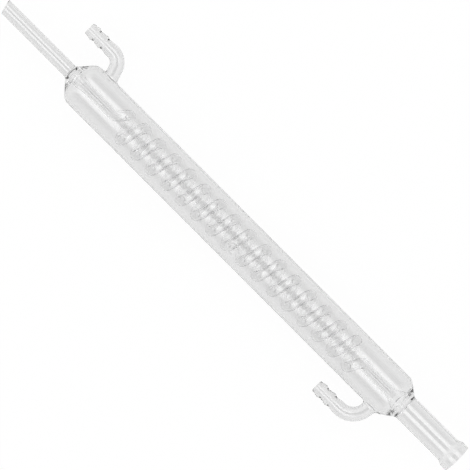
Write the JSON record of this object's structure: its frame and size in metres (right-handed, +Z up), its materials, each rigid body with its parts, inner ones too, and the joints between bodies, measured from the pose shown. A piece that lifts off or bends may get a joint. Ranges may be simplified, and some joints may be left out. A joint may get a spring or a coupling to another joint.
{
  "type": "graham condenser",
  "caption": "Glass laboratory condenser: a coiled inner tube sealed in a straight water jacket, with a drip tube, a flared vapour tube and hose-barbed water arms.",
  "frame": {"origin": "under the middle of the part's box, on the surface that its jacket lies on", "axes": "+X along the main axis from the drip tip to the flared mouth, +Y to the side that the drip end's water arm is on, +Z up"},
  "size_m": [0.5417, 0.0908, 0.0415],
  "materials": {
    "glass": "clear fire-polished borosilicate glass"
  },
  "bodies": {
    "root": {"condenser": "glass"}
  },
  "joints": []
}
